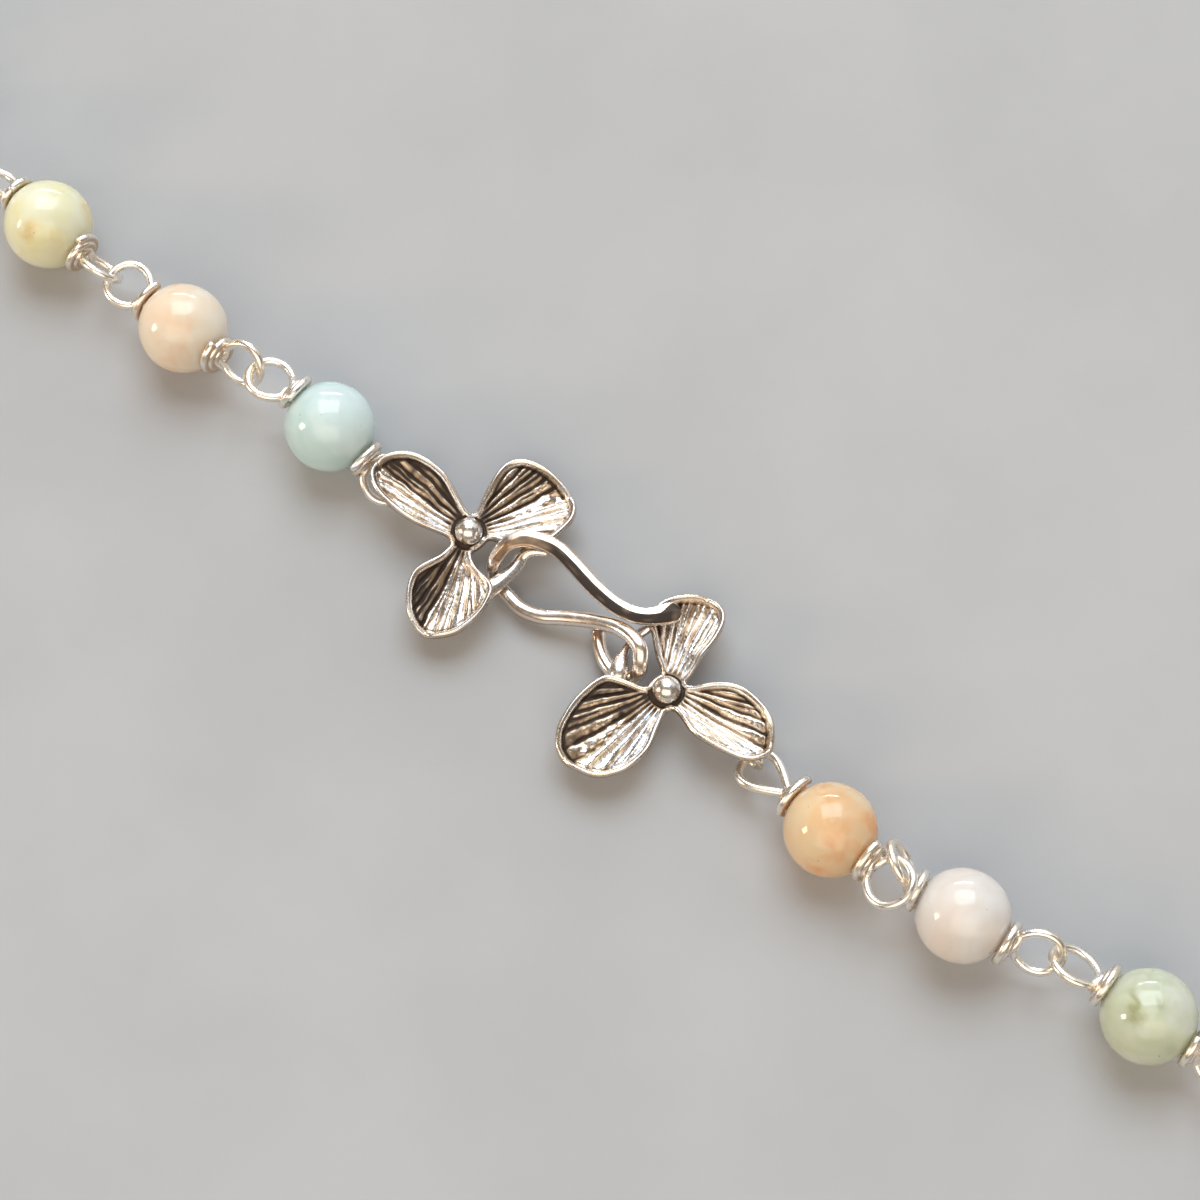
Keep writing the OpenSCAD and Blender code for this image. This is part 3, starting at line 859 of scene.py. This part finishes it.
def flower_face(name, flower, rings, tables, points, seed):
    """A flower's upper face: its height, its plain height, its tarnish with painted shade, and its
    haze.
    """
    petals = flower[1]
    edge, own = edge_distances(petals, rings, points)
    away = lengths(points)
    total = np.zeros((4, len(points)))
    weights = np.zeros(len(points))
    for k, (petal, table) in enumerate(zip(petals, tables)):
        weight = np.maximum(own[k] + 0.3, 0) ** 2 + 1e-6
        out, across = to_petal(petal, points).T
        base = petal_base(petal, out, across, table)
        relief = petal_relief(petal, out, across, edge, away, name, k, seed + 20 * k)
        total += weight * np.array([base, *relief])
        weights += weight
    base, relief, tarnish_and_shade, shade = total / weights
    rim = INNER_RIM_W + (RIM_W - INNER_RIM_W) * ramp((away - 1.6) / 1.6)
    u = np.clip((edge - INSET) / (rim - INSET + 0.05), 0, 1)
    crown = RIM_H * (1 - u * u) ** 0.8 * (0.45 + 0.55 * ramp((away - 1.2) / 1.2))
    trench = np.exp(-((edge - rim - 0.09) / 0.08) ** 2) * ramp((away - 1.3) / 1)
    well = np.exp(-((away - 1.06) / 0.13) ** 2)
    # Tarnish in the trench inside the rim, heavier on the half with painted shade, and round the ball.
    tarnish_and_shade = (tarnish_and_shade + 0.9 * trench * (0.35 + 0.65 * shade)
               + 0.75 * ramp((1.22 - away) / 0.14) + 0.3 * ramp((1.9 - away) / 0.6))
    sunk = ramp((edge - rim + 0.1) / 0.12)
    tarnish_and_shade = np.clip(tarnish_and_shade, 0, 1) * sunk + RIM_TONE * (1 - sunk)
    patch = 0.5 + 0.8 * noise(*(points * 0.9).T, 2.0, seed + 71)
    inside = ramp((edge - rim) / 0.2)
    frost = ramp((3.6 - away) / 1.8) * np.clip(patch + 0.3, 0, 1) * inside
    frost = frost + 0.5 * ramp((patch - 0.75) / 0.3) * inside
    return base + relief + crown - 0.06 * trench - 0.12 * well, base, tarnish_and_shade, np.clip(frost, 0, 1)


def honeycomb(low, high, size):
    """Points of a six-sided pattern over a rectangle."""
    rows = np.arange(low[1], high[1], size * math.sqrt(0.75))
    columns = np.arange(low[0], high[0], size)
    x = columns + np.where(np.arange(len(rows)) % 2, 0.5 * size, 0)[:, None]
    return np.column_stack([x.ravel(), np.repeat(rows, len(columns))])


def filled(line, inner):
    """Triangles between a closed line's points and the points inside it."""
    count = len(line)
    places = [Vector(p) for p in np.vstack([line, inner]).tolist()]
    ring = [(i, (i + 1) % count) for i in range(count)]
    found = delaunay_2d_cdt(places, ring, [], 1, 1e-7)
    source = [first[0] for first in found[3]]
    return [tuple(source[i] for i in face) for face in found[2]]


def casting_parts(name, flower, seed):
    """The petals and their common middle as one closed skin, round the flower's middle."""
    petals = flower[1]
    rings = [outline(petal[3], seed + k) for k, petal in enumerate(petals)]
    tables = [smooth(petal[3], 200) for petal in petals]
    world = [ring @ turned("z", petal[0])[:2, :2].T for petal, ring in zip(petals, rings)]
    low = np.vstack(world).min(axis=0) - 0.5
    high = np.vstack(world).max(axis=0) + 0.5

    def depth(points):
        return edge_distances(petals, rings, points)[0]

    def inner_points(size, least_depth):
        points = honeycomb(low, high, size)
        return points[depth(points) > least_depth]

    nx, ny = np.ceil((high - low) / CELL).astype(int) + 1
    gx, gy = np.meshgrid(low[0] + CELL * np.arange(nx), low[1] + CELL * np.arange(ny), indexing="ij")
    field = depth(np.column_stack([gx.ravel(), gy.ravel()])).reshape(nx, ny)
    tip = world[0][np.argmax(lengths(world[0]))]
    levels = [INSET + CROWN_STEP * k for k in range(CROWN_LINES + 1)]
    line, *crown = [walk_round(field, low, tip * (1 - level / np.linalg.norm(tip)), level)
                    for level in levels]
    count = len(line)
    fine = np.vstack(crown + [inner_points(FINE, levels[-1] + 0.8 * CROWN_STEP)])
    coarse = inner_points(COARSE, INSET + 0.2)

    top = np.vstack([line, fine])
    height, _, tarnish_and_shade, frost = flower_face(name, flower, rings, tables, top, seed)
    steps = [(INSET * math.sin(a), EDGE_DROP * (1 - math.cos(a))) for a in np.radians(EDGE_ANGLES)]
    steps += [(INSET * share, drop) for share, drop in LOWER_EDGE]
    outward = right_hand(line)
    skirt = [np.column_stack([line + outward * out, height[:count] - drop]) for out, drop in steps]
    under = flower_face(name, flower, rings, tables, coarse, seed)[1]
    wavy = 0.03 * noise(*(coarse * 1.2).T, 5.0, seed + 8)
    under = np.column_stack([coarse, under - 0.3 - 0.16 * ramp(depth(coarse) / 0.8) + wavy])

    points = np.vstack([np.column_stack([top, height])] + skirt + [under])
    starts = [0] + [len(top) + k * count for k in range(len(skirt))]
    faces = filled(line, fine)
    for upper, lower in zip(starts, starts[1:]):
        for k in range(count):
            n = (k + 1) % count
            faces.append((upper + k, lower + k, lower + n, upper + n))
    faces += [tuple(starts[-1] + i for i in face[::-1]) for face in filled(line, coarse)]
    # The edge steps grow darker downwards as painted shade; the underside has plain tarnish.
    tarnish_and_shade = np.concatenate([tarnish_and_shade, np.repeat(EDGE_TONE_AND_SHADE, count),
                              np.full(len(coarse), UNDER_TARNISH)])
    frost = np.concatenate([frost, np.zeros(len(points) - len(frost))])
    return points, faces, tarnish_and_shade, frost


def ball_parts(centre):
    """The ball in a flower's middle."""
    around = 48
    up = np.linspace(-np.pi / 2, np.pi / 2, 26)[1:-1, None]
    a = circle(around)
    rings = grid_points(np.cos(up) * np.cos(a), np.cos(up) * np.sin(a), np.sin(up))
    points = np.vstack([rings, [[0, 0, -1], [0, 0, 1]]]) * BALL_R + centre
    faces = grid_faces(len(up), around)
    south, north, last = len(points) - 2, len(points) - 1, (len(up) - 1) * around
    for j in range(around):
        k = (j + 1) % around
        faces += [(south, k, j), (north, last + j, last + k)]
    return points, faces


def bar_parts(bar, seed):
    """The bar of the eye for the hook, a little flattened and darker underneath."""
    line = smooth(bar, (len(bar) - 1) * 8 + 1)
    uneven = 1 + 0.03 * noise(line[:, 0] * 1.3, line[:, 1] * 1.3, 0.0, seed)
    points, faces = tube(line[:, :3], line[:, 3] * uneven, 28, end=0.15)
    core = np.interp(points[:, 1], line[:, 1], line[:, 2])
    points[:, 2] = core + (points[:, 2] - core) * 0.8
    return points, faces, 0.5 * ramp((core - points[:, 2] + 0.12) / 0.4)


def link_ring_parts(x, y, z, radius):
    """The upright ring under a petal that holds the end link."""
    a, b = circle(48)[:, None], circle(14)
    away = radius + RING_WIRE_R * np.cos(b)
    points = grid_points(x + away * np.cos(a), y + RING_WIRE_R * np.sin(b), z + away * np.sin(a))
    return points, grid_faces(a.size, b.size, close_rows=True), 0.15


def make_flower(name, flower, seed):
    middle, _, bar, link_ring = flower
    shape = Shape()
    points, *rest = casting_parts(name, flower, seed)
    shape.add(points + (*middle[:2], 0), *rest)
    points, faces = ball_parts(np.array(middle) + (0, 0, 0.3))
    shape.add(points, faces, 0.75 * ramp((middle[2] + 0.12 - points[:, 2]) / 0.25))
    shape.add(*bar_parts(bar, seed + 62))
    shape.add(*link_ring_parts(*link_ring))
    shape.make("cast_" + name + "_flower", "flower_" + name, CAST_SILVER)


make_flower("left", LEFT_FLOWER, 300)
make_flower("right", RIGHT_FLOWER, 500)


# The hook

# Section of the upper run: a flat top and a long bevel behind it.
RUN_SECTION = [(1.0, 0.1), (0.98, 0.6), (0.9, 0.92), (0.74, 1.0), (0.3, 1.0), (0.0, 0.99),
               (-0.16, 0.95), (-0.3, 0.86), (-0.58, 0.7), (-0.86, 0.5), (-1.0, 0.08), (-0.93, -0.5),
               (-0.55, -0.93), (0.0, -1.0), (0.5, -0.95), (0.9, -0.6)]
# The row of HOOK_ROWS from which the hook has that section, and how far it leans to the front.
FLAT_FROM, LEAN = 17.2, 11
# The rounded tip: its reach, width and thickness.
TIP_REACH, TIP_WIDTH, TIP_THICKNESS = 0.62, 1.42, 0.7
# Rings that close the two ends: distance beyond the line, shares of the width and thickness.
TAIL_END = [(0.2, 0.8, 0.8), (0.19, 1.03, 1.03), (0.1, 1.1, 1.1)]
TIP_END = [(0.03, 0.88, 0.94), (0.06, 0.7, 0.8), (0.085, 0.45, 0.6), (0.1, 0.15, 0.3)]


def run_section(count):
    """The upper run's section as a smooth closed line of evenly numbered points."""
    closed = RUN_SECTION[-1:] + RUN_SECTION + RUN_SECTION[:2]
    line = smooth(closed, (len(closed) - 1) * 20 + 1)[20:-20]
    at = np.linspace(0, len(line) - 1, count, endpoint=False)
    return np.column_stack([np.interp(at, np.arange(len(line)), line[:, k]) for k in (0, 1)])


def hook_line():
    """The hook's middle line with its widths, thicknesses, side and up directions."""
    rows = smooth(HOOK_ROWS, (len(HOOK_ROWS) - 1) * 8 + 1)
    path, width, thick = rows[:, :3], rows[:, 3], rows[:, 4]
    ahead = unit(np.gradient(path, axis=0))
    aside = unit(np.cross(ahead, [0, 0, 1]))
    up = np.cross(aside, ahead)
    left = lengths(path - path[-1]) + 0.1
    rounding = np.where(np.arange(len(path)) > len(path) - 20, np.clip(1 - left / TIP_REACH, 0, 1), 0)
    width = np.where(rounding > 0, TIP_WIDTH * np.sqrt(1 - rounding ** 2), width)
    thick = np.where(rounding > 0, TIP_THICKNESS * (1 - rounding ** 2) ** 0.35, thick)
    tail, tip = np.array(TAIL_END), np.array(TIP_END)
    path = np.vstack([path[0] - ahead[0] * tail[:, :1], path, path[-1] + ahead[-1] * tip[:, :1]])
    width, thick = (np.concatenate([v[0] * tail[:, k], v, v[-1] * tip[:, k]])
                    for k, v in ((1, width), (2, thick)))
    aside, up = (np.vstack([v[:1]] * len(tail) + [v] + [v[-1:]] * len(tip)) for v in (aside, up))
    return path, width, thick, aside, up


def make_hook():
    around = 36
    path, width, thick, aside, up = hook_line()
    place = np.linspace(0, len(HOOK_ROWS) - 1, len(path))[:, None]
    flat = ramp((place - FLAT_FROM) / 2)
    lean = np.radians(LEAN) * flat
    aside, up = aside * np.cos(lean) - up * np.sin(lean), up * np.cos(lean) + aside * np.sin(lean)
    section = run_section(around)
    a = np.arctan2(section[:, 1], section[:, 0])
    c, s = np.cos(a), np.sin(a)
    across = np.sign(c) * np.abs(c) ** 0.9 * (1 - flat) + section[:, 0] * flat
    upward = np.sign(s) * np.abs(s) ** 0.9 * (1 - flat) + section[:, 1] * flat
    dent = 0.03 * noise(place * 1.1, a * 0.9, 0.0, 71) * (0.4 + 0.6 * flat)
    points, faces = swept(path, aside, up, across * (1 + dent) * width[:, None] / 2,
                          upward * (1 + dent) * thick[:, None] / 2)
    near_tip = ramp((place - 29.5) / 1.5)
    # The flat top is darkened, towards the tip too: tarnish and a painted dark reflection.
    top = (ramp((upward - 0.85 + 0.6 * near_tip) / 0.1) * ramp((across + 0.24 + 0.7 * near_tip) / 0.12)
           * ramp((0.92 - across) / 0.1))
    dark = 0.8 + 0.2 * noise(place * 1.3, across * 2.0, 0.0, 77)
    dark = dark * (0.66 + 0.34 * ramp((place - 21) / 2)) - 0.08 * near_tip
    under = 0.5 * ramp((0.1 - upward) / 0.5)
    # Painted shade: the short end, lying low, is darker.
    short_end_painted_shade = 0.12 * ramp((3.2 - place) / 1.5)
    shape = Shape()
    shape.add(points, faces, (0.04 + top * flat * dark + under + short_end_painted_shade).reshape(-1))
    shape.make("bent_hook", "hook", HOOK_SILVER)


make_hook()


# Floor, light and camera

FLOOR_HALF = 1.2
FLOOR_COLOURS = (0.40, 0.405, 0.415), (0.43, 0.435, 0.445)
FLOOR_PATCH_W, FLOOR_GRAIN_W = 0.02, 0.0008
# Lights: name, direction from the middle, distance, width, height, power, colour.
LIGHTS = [
    ("window", (-0.31, 0.405, 0.86), 1.3, 1.1, 0.9, 14, (0.80, 0.91, 1.0)),
    ("sky_panel", (-0.28, 0.76, 0.56), 1.7, 4.0, 1.5, 13, (0.97, 0.98, 1.0)),
    ("low_strip", (-0.583, 0.765, 0.276), 1.3, 0.8, 0.07, 3, (0.95, 0.97, 1.0)),
    ("warm_side", (-0.676, -0.664, 0.321), 1.2, 0.22, 0.3, 4, (1.0, 0.80, 0.58)),
    ("front_fill", (0.34, -0.58, 0.74), 2.0, 2.6, 1.6, 24, (1.0, 0.88, 0.74)),
]
WORLD_COLOUR, WORLD_STRENGTH = (0.50, 0.41, 0.34, 1), 0.44
# Camera: its distance in millimetres.
AZIMUTH, ELEVATION, DISTANCE = math.radians(37.367), math.radians(70), 177.5
LENS = 83.55


def make_floor():
    mesh = bpy.data.meshes.new("floor")
    corners = [(x * FLOOR_HALF, y * FLOOR_HALF, 0) for x, y in ((-1, -1), (1, -1), (1, 1), (-1, 1))]
    mesh.from_pydata(corners, [], [(0, 1, 2, 3)])
    floor = new_object("floor", mesh)
    material, tree, shader = new_material("pale_floor")
    place = object_place(tree)
    drift = span(tree, noise_node(tree, place, FLOOR_PATCH_W, 4.0), 0.3, 0.7)
    feed(tree, shader, {"Base Color": blend(tree, drift, *FLOOR_COLOURS), "Roughness": 0.85,
                        "Normal": bump(tree, noise_node(tree, place, FLOOR_GRAIN_W), 0.2, 0.00005)})
    mesh.materials.append(material)


def aim(thing, place, way):
    """Put a light or camera at a place, looking along a way."""
    thing.location = place
    thing.rotation_mode = "QUATERNION"
    thing.rotation_quaternion = way.to_track_quat("-Z", "Y")


def area_light(name, direction, distance, width, height, power, colour):
    data = bpy.data.lights.new(name, "AREA")
    data.shape = "RECTANGLE"
    data.size, data.size_y = width, height
    data.energy = power
    data.color = colour
    way = Vector(direction).normalized()
    aim(new_object(name, data), way * distance, -way)


def make_world():
    world = bpy.data.worlds.new("studio")
    world.use_nodes = True
    tree = world.node_tree
    feed(tree, tree.nodes["Background"], {"Color": WORLD_COLOUR, "Strength": WORLD_STRENGTH})
    bpy.context.scene.world = world


def make_camera():
    data = bpy.data.cameras.new("camera")
    data.lens = LENS
    data.clip_start, data.clip_end = 0.01, 10
    camera = new_object("camera", data)
    look = Vector((-math.sin(AZIMUTH) * math.cos(ELEVATION), math.cos(AZIMUTH) * math.cos(ELEVATION),
                   -math.sin(ELEVATION)))
    target = Vector((-OFFSET[0], -OFFSET[1], BEAD_R))
    aim(camera, (target - look * DISTANCE) * MM, look)
    bpy.context.scene.camera = camera


make_floor()
for row in LIGHTS:
    area_light(*row)
make_world()
make_camera()
bpy.context.scene.view_settings.view_transform = "Standard"
